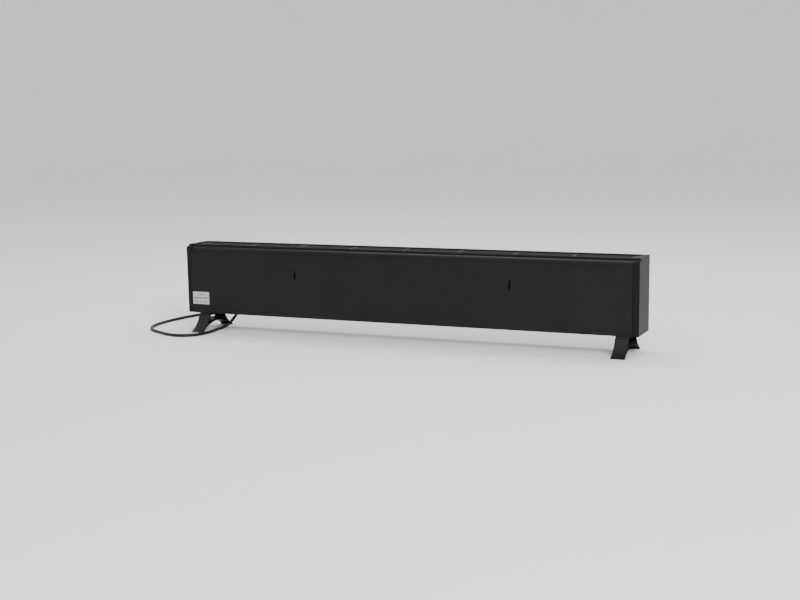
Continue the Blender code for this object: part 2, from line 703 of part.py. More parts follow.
def inner_wires(live, neutral):
    """Insulated wires inside the casing, each from one terminal to the next."""
    block_top = INSIDE_Z + 0.0145
    switch_back = TRAY_Y + 0.0146
    thermostat_back = TRAY_BACK + 0.0217
    bush_face = ELEMENT_X[1] + 0.0248
    routes = {
        "wire_supply": [
            (0.416, -0.0250, 0.0541),
            (0.416, -0.0240, 0.0590),
            (0.420, -0.0150, 0.0660),
            (0.430, 0.0020, 0.0700),
            (0.437, 0.0100, 0.0680),
            (0.439, 0.0120, 0.0620),
            (0.439, 0.0120, block_top),
        ],
        "wire_to_switch": [
            (0.449, 0.0120, block_top),
            (0.449, 0.0120, 0.0640),
            (0.452, 0.0060, 0.0740),
            (0.457, -0.0080, 0.0840),
            (0.460, -0.0240, 0.0920),
            (0.460, switch_back, 0.0930),
        ],
        "wire_to_thermostat": [
            (0.420, switch_back, 0.0980),
            (0.420, -0.0270, 0.0990),
            (0.421, -0.0180, 0.1060),
            (0.425, -0.0150, 0.1160),
            (0.431, -0.0180, 0.1230),
            (0.434, thermostat_back, 0.1250),
        ],
        "wire_to_cutout": [
            (0.422, thermostat_back, 0.1340),
            (0.418, -0.0180, 0.1320),
            (0.405, -0.0150, 0.1180),
            (0.392, -0.0220, 0.0920),
            (0.383, -0.0310, 0.0680),
            (0.373, -0.0330, 0.0630),
            (0.3655, -0.0350, 0.0660),
            (0.3605, -0.0385, 0.0830),
            (0.3590, -0.0390, 0.1060),
            (0.3590, -0.0370, 0.1230),
            (0.3613, -0.0340, 0.1300),
        ],
        "wire_to_element": [
            (0.3613, -0.0260, 0.1300),
            (0.3595, -0.0230, 0.1270),
            (0.3600, -0.0180, 0.1170),
            (0.3660, -0.0150, 0.1090),
            (0.3662, -0.0142, 0.1050),
            (bush_face, -0.0140, 0.1035),
        ],
        "wire_neutral": [
            (0.459, 0.0120, block_top),
            (0.459, 0.0125, 0.0620),
            (0.455, 0.0165, 0.0690),
            (0.440, 0.0205, 0.0700),
            (0.420, 0.0200, 0.0690),
            (0.400, 0.0165, 0.0660),
            (0.385, 0.0110, 0.0630),
            (0.3790, -0.0040, 0.0600),
            (0.3780, -0.0200, 0.0570),
            (0.3725, -0.0265, 0.0570),
            (0.3665, -0.0260, 0.0600),
            (0.3650, -0.0230, 0.0740),
            (0.3670, -0.0170, 0.0880),
            (0.3670, -0.0145, 0.0940),
            (bush_face, -0.0140, 0.0960),
        ],
    }
    for name, route in routes.items():
        tube(name, route, 0.0012, 0.005, neutral if name == "wire_neutral" else live)


def cord_gland(mat):
    """Strain relief bushing: flanges on both sides of the floor and a tapered boot that leans."""
    rings = []
    steps = [
        (0.0534, 0.0046, 0.0),
        (0.0440, 0.0050, 0.0),
        (0.0440, 0.0075, 0.0),
        (0.0420, 0.0078, 0.0),
        (0.0420, 0.0055, 0.0),
        (BASE_Z + 0.0012, 0.0055, 0.0),
        (BASE_Z + 0.0012, 0.0080, 0.0),
        (BASE_Z - 0.0012, 0.0076, 0.0),
        (BASE_Z - 0.0014, 0.0052, 0.02),
        (BASE_Z - 0.0045, 0.0047, 0.22),
        (BASE_Z - 0.0072, 0.0042, 0.50),
        (0.0302, 0.0038, 0.62),
    ]
    heading = Vector((0.52, 0.854, 0.0))
    centre = Vector((GLAND_X, GLAND_Y, 0.0))
    height = steps[0][0]
    for z, radius, lean in steps:
        centre = centre + heading * (height - z) * math.tan(lean)
        height = z
        axis = Vector((heading.x * math.sin(lean), heading.y * math.sin(lean), -math.cos(lean)))
        side = Vector((0, 0, 1)).cross(heading)
        up = axis.cross(side)
        angles = [2 * math.pi * i / 20 for i in range(20)]
        middle = Vector((centre.x, centre.y, z))
        rings.append([middle + (side * math.cos(a) + up * math.sin(a)) * radius for a in angles])
    return loft("cord_gland", rings, mat, smooth=True)


def cord_coil(mat):
    """The outer shape of the wound lead: a flat turned ring."""
    low, high, small = COIL_LOW, COIL_HIGH, 0.0022
    inner, outer = COIL_RADII
    section = [(outer, low + small), (outer, high - 2 * small), (outer - 2 * small, high)]
    section += [(inner + 2 * small, high), (inner, high - 2 * small), (inner, low + small)]
    section += [(inner + small, low), (outer - small, low)]
    bm = bmesh.new()
    steps = 40
    rings = []
    for i in range(steps):
        a = 2 * math.pi * i / steps
        rings.append(
            [bm.verts.new(COIL_CENTRE + Vector((r * math.cos(a), r * math.sin(a), z))) for r, z in section]
        )
    for i in range(steps):
        here, there = rings[i], rings[(i + 1) % steps]
        for k in range(len(section)):
            n = (k + 1) % len(section)
            bm.faces.new((here[k], here[n], there[n], there[k]))
    bmesh.ops.recalc_face_normals(bm, faces=bm.faces)
    mesh = bpy.data.meshes.new("cord_coil")
    bm.to_mesh(mesh)
    bm.free()
    return place("cord_coil", mesh, mat, smooth=True)


def cord_tie(mat):
    """Flat strap round the coil's turns."""
    y_in, y_out = -(COIL_RADII[0] - 0.0010), -(COIL_RADII[1] + 0.0006)
    inner = [(y_out, 0.0010), (y_in, 0.0010), (y_in, COIL_HIGH + GAP), (y_out, COIL_HIGH + GAP)]
    outer = [(y_out - 0.001, 0.0), (y_in + 0.001, 0.0), (y_in + 0.001, COIL_HIGH + 0.0013)]
    outer += [(y_out - 0.001, COIL_HIGH + 0.0013)]
    centre = COIL_CENTRE
    outer = [(centre.y + y, z) for y, z in outer]
    inner = [(centre.y + y, z) for y, z in inner]
    obj = prism("cord_tie", outer, "X", (centre.x - 0.005, centre.x + 0.005), mat)
    cut(obj, prism("tie_inside", inner, "X", (centre.x - 0.008, centre.x + 0.008), mat))
    return obj


def plug(body_mat, metal):
    """Moulded plug with two flat blades and a round earth pin, lying on the floor."""
    side = Vector((0, 0, 1)).cross(PLUG_AXIS)
    up = Vector((0, 0, 1))
    start = Vector(TAIL_ROUTE[-1]) + PLUG_AXIS * GAP
    rise = 0.0125 - start.z
    steps = [
        (0.0, 0.0042, 0.0042, 0.0),
        (0.010, 0.0052, 0.0046, 0.35),
        (0.016, 0.0100, 0.0090, 0.75),
        (0.022, 0.0128, 0.0118, 1.0),
        (PLUG_FRONT, 0.0132, 0.0122, 1.0),
    ]
    rings = []
    for along, half_side, half_up, share in steps:
        centre = start + PLUG_AXIS * along + up * rise * share
        ring = []
        for i in range(24):
            a = 2 * math.pi * i / 24
            c, s = math.cos(a), math.sin(a)
            ring.append(
                centre
                + side * half_side * math.copysign(abs(c) ** 0.6, c)
                + up * half_up * math.copysign(abs(s) ** 0.6, s)
            )
        rings.append(ring)
    body = loft("plug_body", rings, body_mat, smooth=True)
    face = start + PLUG_AXIS * (PLUG_FRONT + GAP) + up * rise
    blades = []
    for name, across in (("plug_blade_1", 0.0063), ("plug_blade_2", -0.0063)):
        corners = [(-0.0008, -0.0032), (0.0008, -0.0032), (0.0008, 0.0032), (-0.0008, 0.0032)]
        ends = []
        for along, size in ((0.0, 1.0), (0.0150, 1.0), (0.0172, 0.75)):
            middle = face + PLUG_AXIS * along + side * across + up * 0.0025
            ends.append([middle + side * a + up * b * size for a, b in corners])
        blades.append(loft(name, ends, metal))
    pin = turned(
        "plug_earth_pin",
        [(0.0, 0.0024), (0.0170, 0.0024), (0.0190, 0.0012)],
        face - up * 0.0062,
        PLUG_AXIS,
        metal,
        steps=14,
    )
    return body, *blades, pin


def rating_label(mat):
    """Thin plate on the rear cover, left blank."""
    low = (0.4550, REAR_Y + 0.0002, BASE_Z + 0.0196)
    return box("rating_label", low, (0.4965, REAR_Y + 0.0006, BASE_Z + 0.0470), mat)


def main():
    clear_scene()
    black_steel = finish("black_powder_coat", (0.020, 0.022, 0.021), 0.45)
    black_plastic = finish("black_plastic", (0.024, 0.024, 0.025), 0.40)
    bare_steel = finish("zinc_plated_steel", (0.55, 0.56, 0.57), 0.35, 1.0)
    aluminium = finish("aluminium", (0.70, 0.70, 0.71), 0.32, 1.0)
    ceramic = finish("ceramic", (0.72, 0.69, 0.62), 0.6)
    pale_plastic = finish("pale_plastic", (0.55, 0.53, 0.48), 0.5)
    lead = finish("cord_jacket", (0.018, 0.018, 0.019), 0.5)
    brass = finish("brass", (0.72, 0.55, 0.28), 0.3, 1.0)
    lens = finish("lamp_lens", (0.75, 0.12, 0.04), 0.15)
    label = finish("label_film", (0.45, 0.46, 0.45), 0.4)
    red = finish("red_insulation", (0.45, 0.03, 0.02), 0.45)
    blue = finish("blue_insulation", (0.05, 0.12, 0.40), 0.45)

    rear_cover(black_steel)
    front_panel(black_steel)
    base_plate(bare_steel)
    top_grille(black_steel)
    end_cap("end_cap_right", 1, black_plastic)
    end_cap("end_cap_left", -1, black_plastic)
    heat_shield(bare_steel)
    partition(bare_steel)
    rating_label(label)

    for name, x in FEET.items():
        foot(name, x, black_plastic)
    for number, at in enumerate(foot_screws(), 1):
        screw(f"foot_screw_{number}", at, LEG_TOP_Z - GAP, (0.0040, 0.0026), 0.0020, 0.0125, bare_steel)
    for number, at in enumerate(cap_screws(), 1):
        screw(f"cap_screw_{number}", at, BASE_Z - GAP, (0.0032, 0.0020), 0.0015, 0.0080, bare_steel)
    for number, at in enumerate(bracket_screws(), 1):
        screw(f"bracket_screw_{number}", at, FLOOR_LOW - GAP, (0.0032, 0.0020), 0.0015, 0.0080, bare_steel)

    heating_element(aluminium)
    element_end("element_bush_left", ELEMENT_X[0], -1, ceramic)
    element_end("element_bush_right", ELEMENT_X[1], 1, ceramic)
    for name, (x, side) in BRACKETS.items():
        element_bracket(name, x, side, bare_steel)
    thermal_cutout(bare_steel)

    control_bezel(black_plastic)
    knob(black_plastic)
    thermostat(pale_plastic, bare_steel)
    for number, x in ROCKERS.items():
        rocker_switch(number, x, black_plastic, black_plastic)
    pilot_lamp(lens)
    tip_over_switch(pale_plastic, bare_steel)
    terminal_block(pale_plastic)

    cord_gland(lead)
    tube("power_cord", LEAD_ROUTE, CORD_RADIUS, 0.012, lead)
    cord_coil(lead)
    tube("power_cord_tail", TAIL_ROUTE, CORD_RADIUS, 0.008, lead)
    cord_tie(lead)
    plug(lead, brass)
    inner_wires(red, blue)


main()
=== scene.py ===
import json
import math

import bpy
import numpy as np
from mathutils import Matrix, Vector


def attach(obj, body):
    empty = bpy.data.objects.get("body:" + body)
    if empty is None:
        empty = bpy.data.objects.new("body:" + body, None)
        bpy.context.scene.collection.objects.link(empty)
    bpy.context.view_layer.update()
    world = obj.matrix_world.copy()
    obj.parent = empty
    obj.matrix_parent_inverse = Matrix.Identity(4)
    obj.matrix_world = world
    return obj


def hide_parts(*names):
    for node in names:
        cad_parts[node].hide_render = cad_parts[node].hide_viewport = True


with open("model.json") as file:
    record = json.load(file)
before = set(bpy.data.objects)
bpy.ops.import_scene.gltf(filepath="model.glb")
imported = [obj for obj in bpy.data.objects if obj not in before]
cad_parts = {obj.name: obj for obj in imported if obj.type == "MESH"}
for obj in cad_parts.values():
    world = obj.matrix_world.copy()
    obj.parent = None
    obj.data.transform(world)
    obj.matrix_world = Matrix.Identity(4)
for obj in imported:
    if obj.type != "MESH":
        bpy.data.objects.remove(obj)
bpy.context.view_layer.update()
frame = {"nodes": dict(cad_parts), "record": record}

nodes = frame["nodes"]

# camera: low, looking at the rear face from beyond its middle

camera = {
    "at": (-1.0783, 2.4067, 0.4674),
    "yaw": 23.18,
    "pitch": 9.20,
    "roll": -0.73,
    "lens": 57.22,
    "shift": (-0.0297, 0.0259),
}


def addCamera():
    yaw, pitch, roll = (math.radians(camera[key]) for key in ("yaw", "pitch", "roll"))
    level = Vector((math.sin(yaw), -math.cos(yaw), 0))
    ahead = level * math.cos(pitch) - Vector((0, 0, math.sin(pitch)))
    across = Vector((-math.cos(yaw), -math.sin(yaw), 0))
    upward = across.cross(ahead)
    right = across * math.cos(roll) + upward * math.sin(roll)
    top = upward * math.cos(roll) - across * math.sin(roll)
    lens = bpy.data.cameras.new("camera")
    lens.lens = camera["lens"]
    lens.sensor_width = 36
    lens.shift_x, lens.shift_y = camera["shift"]
    lens.clip_start = 0.05
    eye = bpy.data.objects.new("camera", lens)
    bpy.context.scene.collection.objects.link(eye)
    facing = Matrix((right, top, -ahead)).transposed().to_4x4()
    eye.matrix_world = Matrix.Translation(camera["at"]) @ facing
    bpy.context.scene.camera = eye


addCamera()
print("camera set")

# surfaces


# quads over a rows x columns grid of points, the columns closed in a ring
def ringFaces(rows, columns):
    row, column = np.meshgrid(np.arange(rows - 1), np.arange(columns), indexing="ij")
    after = (column + 1) % columns
    here, above = row * columns, (row + 1) * columns
    return np.stack([here + column, here + after, above + after, above + column], axis=-1).reshape(-1, 4)


# Catmull-Rom: each span blends four neighbours by cubic weights of t
def smoothLine(route, perSpan):
    p = np.asarray(route, float)
    p = np.vstack([2 * p[0] - p[1], p, 2 * p[-1] - p[-2]])
    t = (np.arange(perSpan) / perSpan)[None, :, None]
    a, b, c, d = (p[k : len(p) - 3 + k][:, None] for k in range(4))
    square, cube = 2 * a - 5 * b + 4 * c - d, 3 * b - a - 3 * c + d
    line = 0.5 * (2 * b + (c - a) * t + square * t**2 + cube * t**3)
    return np.vstack([line.reshape(-1, 3), p[-2]])


# circle of radius r carried along a line: line + r (side cos a + lift sin a)
def sweptTube(name, line, radius, sides, body):
    line = np.asarray(line, float)
    ahead = np.gradient(line, axis=0)
    ahead /= np.linalg.norm(ahead, axis=1)[:, None]
    side = np.cross(ahead, (0, 0, 1.0))
    side /= np.linalg.norm(side, axis=1)[:, None]
    lift = np.cross(side, ahead)
    a = np.linspace(0, 2 * np.pi, sides, endpoint=False)
    radius = np.broadcast_to(np.asarray(radius, float).reshape(-1, 1, 1), (len(line), 1, 1))
    spoke = side[:, None] * np.cos(a)[:, None] + lift[:, None] * np.sin(a)[:, None]
    points = line[:, None] + radius * spoke
    faces = ringFaces(len(line), sides)
    ends = np.vstack([line[0], line[-1]])
    first, last = len(line) * sides, len(line) * sides + 1
    k = np.arange(sides)
    after, rim = (k + 1) % sides, (len(line) - 1) * sides
    startCap = np.stack([np.full(sides, first), after, k], axis=-1)
    endCap = np.stack([np.full(sides, last), rim + k, rim + after], axis=-1)
    caps = np.vstack([startCap, endCap])
    mesh = bpy.data.meshes.new(name)
    corners = np.vstack([points.reshape(-1, 3), ends])
    mesh.from_pydata(corners.tolist(), [], faces[:, ::-1].tolist() + caps[:, ::-1].tolist())
    mesh.polygons.foreach_set("use_smooth", np.ones(len(mesh.polygons), bool))
    piece = bpy.data.objects.new(name, mesh)
    bpy.context.scene.collection.objects.link(piece)
    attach(piece, body)
    return piece


def addSurface(name, points, faces, body):
    mesh = bpy.data.meshes.new(name)
    mesh.from_pydata(np.asarray(points, float).reshape(-1, 3).tolist(), [], np.asarray(faces).tolist())
    mesh.shade_smooth()
    mesh.set_sharp_from_angle(angle=math.radians(35))
    piece = bpy.data.objects.new(name, mesh)
    bpy.context.scene.collection.objects.link(piece)
    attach(piece, body)
    return piece


# mains lead: the run along the floor, three tied turns, and the short end to the plug

lead = {
    "radius": 0.00325,
    "coilCentre": (0.470, -0.2470),
    "coilRadii": (0.0415, 0.0349),
    "coilHeights": (0.0045, 0.0111),
    "exit": (0.4187, -0.0205, 0.0298),
}
leadRoute = [
    (0.4187, -0.0205, 0.0298), (0.4225, -0.0140, 0.0215), (0.4275, -0.0075, 0.0135),
    (0.4335, 0.0005, 0.0072), (0.4385, 0.0095, 0.0040), (0.4400, 0.0220, 0.0034),
    (0.4378, 0.0400, 0.0034), (0.4360, 0.0580, 0.0034), (0.4362, 0.0760, 0.0034),
    (0.4400, 0.0950, 0.0034), (0.4490, 0.1110, 0.0034), (0.4640, 0.1215, 0.0034),
    (0.4850, 0.1255, 0.0034), (0.5060, 0.1205, 0.0034), (0.5270, 0.1095, 0.0034),
    (0.5480, 0.0980, 0.0034), (0.5690, 0.0845, 0.0034), (0.5880, 0.0640, 0.0034),
    (0.6010, 0.0380, 0.0034), (0.6080, 0.0080, 0.0034), (0.6100, -0.0250, 0.0034),
    (0.6090, -0.0600, 0.0034), (0.6050, -0.0950, 0.0034), (0.5970, -0.1300, 0.0034),
    (0.5840, -0.1620, 0.0036), (0.5650, -0.1880, 0.0040), (0.5400, -0.2035, 0.0043),
    (0.5150, -0.2060, 0.0044), (0.4950, -0.2058, 0.0045),
]
tailRoute = [
    (0.4452, -0.2058, 0.0106), (0.4360, -0.2066, 0.0086), (0.4270, -0.2076, 0.0062),
    (0.4180, -0.2090, 0.0051), (0.4090, -0.2106, 0.0050),
]


# 0 before an angle, 1 after another, easing between
def ease(angle, start, end):
    t = np.clip((angle - start) / (end - start), 0, 1)
    return t * t * (3 - 2 * t)


def addLead():
    outer, inner = lead["coilRadii"]
    low, high = lead["coilHeights"]
    angle = np.linspace(90, 1170, 145)[1:-1]
    across = outer + (inner - outer) * (ease(angle, 395, 450) - ease(angle, 975, 1035))
    height = low + (high - low) * ease(angle, 680, 740)
    around = np.radians(angle)
    x, y = lead["coilCentre"]
    turns = np.stack([x + across * np.cos(around), y + across * np.sin(around), height], axis=-1)
    line = np.vstack([smoothLine(leadRoute, 6), (0.4825, -0.2055, 0.0045), (0.4700, -0.2055, 0.0045),
                      turns, (0.4700, -0.2055, 0.0111), (0.4575, -0.2056, 0.0110), smoothLine(tailRoute, 6)])
    piece = sweptTube("mainsLead", line, lead["radius"], 16, "casing")
    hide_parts("power_cord", "cord_coil", "power_cord_tail")
    return piece


mainsLead = addLead()
print("lead laid")

# controls: ribbed knob, dial marks and switch marks

controls = {
    "tray": -0.0504,
    "front": -0.0634,
    "knob": (0.428, 0.131),
    "knobRadius": 0.0185,
    "ribs": 36,
    "ribDepth": 0.00055,
    "pointer": 225,
    "ticks": 10,
    "tickReach": (0.0198, 0.0222),
    "rockers": (0.420, 0.460),
}


# each ring: x = cx + r cos a, z = cz + r sin a; on the grip r gains depth * (cos(ribs * a) - 1) / 2
def addKnob():
    x, z = controls["knob"]
    back, front = controls["tray"] - 0.0004, controls["front"] + 0.0016
    radius = controls["knobRadius"]
    rings = np.array(
        [
            (back, radius - 0.0002, 0), (back, radius, 0),
            (back - 0.0024, radius, 0), (back - 0.0030, radius - 0.0006, 0),
            (back - 0.0034, radius - 0.0024, 0), (back - 0.0038, radius - 0.0028, 1),
            (front + 0.0016, radius - 0.0032, 1), (front + 0.0006, radius - 0.0037, 0.6),
            (front, radius - 0.0048, 0), (front + 0.0005, radius - 0.0060, 0),
            (front + 0.0005, 0.0006, 0), (front + 0.0005, 0.0001, 0),
        ]
    )
    sides = 8 * controls["ribs"]
    a = np.linspace(0, 2 * np.pi, sides, endpoint=False)
    ripple = controls["ribDepth"] * (np.cos(controls["ribs"] * a) - 1) / 2
    reach = rings[:, 1:2] + rings[:, 2:3] * ripple
    depth = np.broadcast_to(rings[:, :1], reach.shape)
    points = np.stack([x + reach * np.cos(a), depth, z + reach * np.sin(a)], axis=-1)
    faces = ringFaces(len(rings), sides)[:, ::-1]
    knob = addSurface("ribbedKnob", points, faces, "thermostat_knob")
    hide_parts("thermostat_knob")
    return knob


# bars: corners of many thin plates, centre + along * length/2 + across * width/2
def addPlates(name, centres, angles, lengths, widths, depth, thick, body):
    centres, angles = np.asarray(centres, float), np.radians(np.asarray(angles, float))
    along = np.stack([np.cos(angles), np.sin(angles)], axis=-1) * np.asarray(lengths)[:, None] / 2
    across = np.stack([-np.sin(angles), np.cos(angles)], axis=-1) * np.asarray(widths)[:, None] / 2
    start, end = centres - along, centres + along
    flat = np.stack([start - across, end - across, end + across, start + across], axis=1)

    def layer(y):
        return np.stack([flat[..., 0], np.full(flat.shape[:2], y), flat[..., 1]], axis=-1)

    points = np.concatenate([layer(depth), layer(depth - thick)], axis=1)
    cube = np.array([(0, 1, 2, 3), (7, 6, 5, 4), (0, 4, 5, 1), (1, 5, 6, 2), (2, 6, 7, 3), (3, 7, 4, 0)])
    faces = (np.arange(len(centres))[:, None, None] * 8 + cube[None, :, ::-1]).reshape(-1, 4)
    return addSurface(name, points, faces[:, ::-1], body)


def addControlMarks():
    x, z = controls["knob"]
    near, far = controls["tickReach"]
    turn = np.linspace(225, -45, controls["ticks"])
    middle, around = (near + far) / 2, np.radians(turn)
    centres = np.stack([x + middle * np.cos(around), z + middle * np.sin(around)], axis=-1)
    wide, tall = np.linspace(0.0004, 0.0011, len(turn)), np.full(len(turn), far - near)
    ticks = addPlates("dialTicks", centres, turn, tall, wide, controls["tray"] - 0.0001, 0.0001, "casing")
    point = math.radians(controls["pointer"])
    spot = [(x + 0.0080 * math.cos(point), z + 0.0080 * math.sin(point))]
    depth = controls["front"] + 0.0020
    pointer = addPlates("knobPointer", spot, [controls["pointer"]], [0.0100], [0.0012], depth, 0.0002,
                        "thermostat_knob")
    return [ticks, pointer]


# switch marks on the rocker's two faces: height t runs from the ridge (0) to the end (1) of a face
def addRockerMarks(number, x):
    sin, cos = math.sin(math.radians(9)), math.cos(math.radians(9))
    pivot, z = controls["tray"] - 0.0002, 0.093
    ridge, upper, lower = (-0.0030, 0.0), (-0.0042, 0.01017), (-0.0042, -0.01017)

    def onFace(end, across, t):
        y = ridge[0] + (end[0] - ridge[0]) * t - 0.00012
        up = ridge[1] + (end[1] - ridge[1]) * t
        return np.stack([x + across, pivot + y * cos - up * sin, z + y * sin + up * cos], axis=-1)

    bar = onFace(upper, np.array([-0.0003, 0.0003, 0.0003, -0.0003]), np.array([0.42, 0.42, 0.76, 0.76]))
    a = np.linspace(0, 2 * np.pi, 32, endpoint=False)
    rims = [onFace(lower, r * np.cos(a), 0.58 - r * np.sin(a) / 0.0103) for r in (0.0016, 0.0022)]
    faces = [[0, 1, 2, 3]] + (ringFaces(2, 32)[:, ::-1] + 4).tolist()
    points = np.concatenate([bar, *rims])
    return addSurface(f"rockerMarks{number}", points, faces, f"rocker_{number}")


ribbedKnob = addKnob()
controlMarks = addControlMarks()
controlMarks += [addRockerMarks(k + 1, x) for k, x in enumerate(controls["rockers"])]
print("controls marked")

# rating label: rows of plain blocks where a real one has print

labelRows = {
    "face": 0.0311,
    "left": 0.4965,
    "width": 0.0415,
    "top": 0.0860,
    "height": 0.0274,
    "rows": [
        (0.22, 0.0016, [(0.30, 0.42), (0.45, 0.52), (0.55, 0.60), (0.62, 0.74)]),
        (0.50, 0.0026, [(0.08, 0.22), (0.245, 0.40), (0.425, 0.52), (0.545, 0.70), (0.725, 0.90)]),
        (0.79, 0.0028, [(0.12, 0.17), (0.20, 0.31), (0.46, 0.53), (0.68, 0.72), (0.75, 0.84)]),
    ],
}


def addLabelBlocks():
    blocks = [(row, tall, low, high) for row, tall, spans in labelRows["rows"] for low, high in spans]
    row, tall, low, high = np.array(blocks).T
    x = labelRows["left"] - labelRows["width"] * (low + high) / 2
    z = labelRows["top"] - labelRows["height"] * row
    centres, wide = np.stack([x, z], axis=-1), labelRows["width"] * (high - low)
    depth = labelRows["face"] + 0.00022
    return addPlates("labelBlocks", centres, np.zeros(len(x)), wide, tall, depth, 0.0001, "casing")


labelBlocks = addLabelBlocks()
print("label filled")

# materials


# a Principled shader with helpers that hang procedural nodes on it
class Shader:
    def __init__(self, name, colour, roughness, metallic=0.0):
        self.material = bpy.data.materials.new(name)
        self.material.use_nodes = True
        self.tree = self.material.node_tree
        self.surface = self.tree.nodes["Principled BSDF"]
        self.set("Base Color", (*colour, 1))
        self.set("Roughness", roughness)
        self.set("Metallic", metallic)
        self.place = self.add("ShaderNodeTexCoord").outputs["Object"]

    def set(self, socket, value):
        self.surface.inputs[socket].default_value = value

    def add(self, kind, **values):
        node = self.tree.nodes.new(kind)
        for key, value in values.items():
            setattr(node, key, value)
        return node

    def join(self, output, entry):
        self.tree.links.new(output, entry)

    def noise(self, scale, detail=4.0, stretch=None, roughness=0.55):
        node = self.add("ShaderNodeTexNoise")
        node.inputs["Scale"].default_value = scale
        node.inputs["Detail"].default_value = detail
        node.inputs["Roughness"].default_value = roughness
        place = self.place
        if stretch:
            mapping = self.add("ShaderNodeMapping")
            mapping.inputs["Scale"].default_value = stretch
            self.join(place, mapping.inputs["Vector"])
            place = mapping.outputs["Vector"]
        self.join(place, node.inputs["Vector"])
        return node.outputs["Fac"]

    def ramp(self, fac, stops):
        node = self.add("ShaderNodeValToRGB")
        node.color_ramp.elements[0].position = stops[0][0]
        node.color_ramp.elements[1].position = stops[-1][0]
        for position, _ in stops[1:-1]:
            node.color_ramp.elements.new(position)
        for element, (_, value) in zip(node.color_ramp.elements, stops):
            element.color = (*value, 1) if hasattr(value, "__len__") else (value, value, value, 1)
        self.join(fac, node.inputs["Fac"])
        return node.outputs["Color"]

    def bump(self, height, strength, distance, after=None):
        node = self.add("ShaderNodeBump")
        node.inputs["Strength"].default_value = strength
        node.inputs["Distance"].default_value = distance
        self.join(height, node.inputs["Height"])
        if after is not None:
            self.join(after, node.inputs["Normal"])
        self.join(node.outputs["Normal"], self.surface.inputs["Normal"])
        return node.outputs["Normal"]

    def colour(self, output):
        self.join(output, self.surface.inputs["Base Color"])

    def rough(self, output):
        self.join(output, self.surface.inputs["Roughness"])


powderCoat = {
    "dark": (0.0034, 0.0041, 0.0039),
    "pale": (0.0052, 0.0060, 0.0058),
    "sheen": (0.38, 0.46),
    "grain": 1700,
    "gloss": 0.22,
}


def makePowderCoat():
    s = Shader("powderCoat", powderCoat["pale"], 0.4)
    s.set("Specular IOR Level", powderCoat["gloss"])
    cloud = s.noise(9, 3)
    s.colour(s.ramp(cloud, [(0.35, powderCoat["dark"]), (0.65, powderCoat["pale"])]))
    smear = s.noise(34, 5, (0.35, 1, 1))
    s.rough(s.ramp(smear, [(0.3, powderCoat["sheen"][0]), (0.7, powderCoat["sheen"][1])]))
    peel = s.bump(s.noise(260, 2), 0.10, 0.0004)
    s.bump(s.noise(powderCoat["grain"], 2), 0.22, 0.00018, peel)
    return s.material


casingPlastic = {
    "dark": (0.0040, 0.0044, 0.0044),
    "pale": (0.0058, 0.0063, 0.0063),
    "sheen": (0.45, 0.51),
    "gloss": 0.15,
}


def makePlastic(name, dark, pale, sheen, grain=2600, depth=0.00012, gloss=0.5):
    s = Shader(name, pale, sum(sheen) / 2)
    s.set("Specular IOR Level", gloss)
    s.colour(s.ramp(s.noise(26, 4), [(0.3, dark), (0.7, pale)]))
    s.rough(s.ramp(s.noise(120, 5), [(0.3, sheen[0]), (0.7, sheen[1])]))
    s.bump(s.noise(grain, 2), 0.3, depth)
    return s.material


footPlastic = {
    "dark": (0.0056, 0.0062, 0.0064),
    "pale": (0.0080, 0.0087, 0.0090),
    "sheen": (0.36, 0.44),
    # rougher, less glossy flat sides stand in for the shade under the body
    "shadedSideRoughness": 0.5,
    "gloss": 0.30,
    "shadedSideGloss": -0.28,
}


# clamped start + change * fac
def blend(s, fac, change, start):
    node = s.add("ShaderNodeMath", operation="MULTIPLY_ADD", use_clamp=True)
    s.join(fac, node.inputs[0])
    node.inputs[1].default_value = change
    if isinstance(start, float):
        node.inputs[2].default_value = start
    else:
        s.join(start, node.inputs[2])
    return node.outputs[0]


# painted shade: the flat sides, which face along X, are made rougher and less glossy than the rest of the
# foot, so they read dark like faces in the shade under the body
def makeFootPlastic():
    s = Shader("footPlastic", (0.0075, 0.0080, 0.0083), 0.4)
    s.colour(s.ramp(s.noise(26, 4), [(0.3, footPlastic["dark"]), (0.7, footPlastic["pale"])]))
    facing = s.add("ShaderNodeSeparateXYZ")
    s.join(s.add("ShaderNodeTexCoord").outputs["Normal"], facing.inputs["Vector"])
    sides = s.add("ShaderNodeMath", operation="ABSOLUTE")
    s.join(facing.outputs["X"], sides.inputs[0])
    low, high = footPlastic["sheen"]
    grain = s.ramp(s.noise(120, 5), [(0.3, low), (0.7, high)])
    # painted shade: faces turned along X get more roughness and less gloss, so they read dark as if shaded
    s.rough(blend(s, sides.outputs[0], footPlastic["shadedSideRoughness"], grain))
    gloss = blend(s, sides.outputs[0], footPlastic["shadedSideGloss"], footPlastic["gloss"])
    s.join(gloss, s.surface.inputs["Specular IOR Level"])
    s.bump(s.noise(2600, 2), 0.3, 0.00012)
    return s.material


# rolled steel with a spangled zinc coat
def makePlated():
    s = Shader("platedSteel", (0.5, 0.51, 0.52), 0.36, 1.0)
    cells = s.add("ShaderNodeTexVoronoi")
    cells.inputs["Scale"].default_value = 120
    s.join(s.place, cells.inputs["Vector"])
    s.colour(s.ramp(cells.outputs["Color"], [(0.2, (0.36, 0.37, 0.385)), (0.8, (0.60, 0.61, 0.62))]))
    s.rough(s.ramp(s.noise(70, 6, (0.2, 1, 1)), [(0.3, 0.26), (0.7, 0.48)]))
    s.bump(s.noise(900, 3, (0.15, 1, 1)), 0.15, 0.0001)
    return s.material


def makeMetal(name, dark, pale, sheen, stretch=(1, 1, 1)):
    s = Shader(name, pale, sum(sheen) / 2, 1.0)
    s.colour(s.ramp(s.noise(40, 4, stretch), [(0.3, dark), (0.7, pale)]))
    s.rough(s.ramp(s.noise(160, 6, stretch), [(0.3, sheen[0]), (0.7, sheen[1])]))
    s.bump(s.noise(1400, 3, stretch), 0.18, 0.00008)
    return s.material


